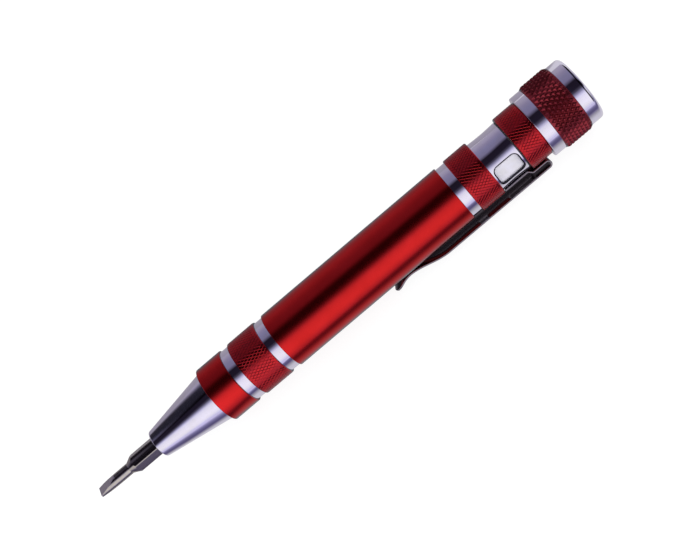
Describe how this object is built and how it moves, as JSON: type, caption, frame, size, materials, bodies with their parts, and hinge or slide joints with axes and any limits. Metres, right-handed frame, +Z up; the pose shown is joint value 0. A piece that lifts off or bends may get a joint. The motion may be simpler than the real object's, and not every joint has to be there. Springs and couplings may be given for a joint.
{
  "type": "pocket screwdriver",
  "caption": "Pen-shaped pocket screwdriver with a flat-blade hex bit, red knurled aluminium barrel, bit store, turning head and spring pocket clip.",
  "frame": {"origin": "the tip of the working blade, on the tool axis", "axes": "+X along the tool axis from the tip to the head, +Z up with the pen lying on its side on its head and clip, +Y away from the clip's side"},
  "size_m": [0.1364, 0.0166, 0.0166],
  "materials": {
    "red_aluminium": "satin red anodised, turned and knurled",
    "bright_aluminium": "polished, clear",
    "tool_steel": "polished, blade ground bare",
    "spring_steel": "polished spring steel strip",
    "plain_steel": "machined steel",
    "plated_magnet": "nickel plated",
    "black_plastic": "moulded"
  },
  "bodies": {
    "barrel": {"nose_cone": "bright_aluminium", "bit_socket": "plain_steel", "nose_magnet": "plated_magnet", "front_sleeve": "red_aluminium", "core_tube": "bright_aluminium", "front_knurl_ring": "red_aluminium", "barrel_sleeve": "red_aluminium", "rear_knurl_ring": "red_aluminium", "neck_sleeve": "bright_aluminium", "bit_magazine": "black_plastic", "spare_bit_slot_narrow": "plain_steel", "spare_bit_slot_wide": "plain_steel", "spare_bit_cross_small": "plain_steel", "spare_bit_cross_large": "plain_steel", "spare_bit_hex": "plain_steel", "spare_bit_star": "plain_steel", "clip_foot": "spring_steel", "clip_rivet": "plain_steel", "drum_snap_ring": "plain_steel", "neck_washer": "black_plastic"},
    "bit": {"working_bit": "tool_steel"},
    "clip": {"clip_arm": "spring_steel"},
    "head": {"selector_drum": "bright_aluminium", "head_collar": "red_aluminium", "head_body": "bright_aluminium", "head_grip_ring": "red_aluminium", "head_end_cap": "bright_aluminium"}
  },
  "joints": [
    {"name": "bit_pull", "type": "slide", "parent": "barrel", "child": "bit", "axis": [-1, 0, 0], "range_m": [0, 0.012]},
    {"name": "head_turn", "type": "hinge", "parent": "barrel", "child": "head", "pos_m": [0.1172, 0, 0], "axis": [1, 0, 0], "continuous": true},
    {"name": "clip_flex", "type": "hinge", "parent": "barrel", "child": "clip", "pos_m": [0.11998, -0.00487, -0.00504], "axis": [0, -0.7193, 0.6947], "range_deg": [0, 4], "stiffness_Nm_per_rad": 0.8}
  ]
}
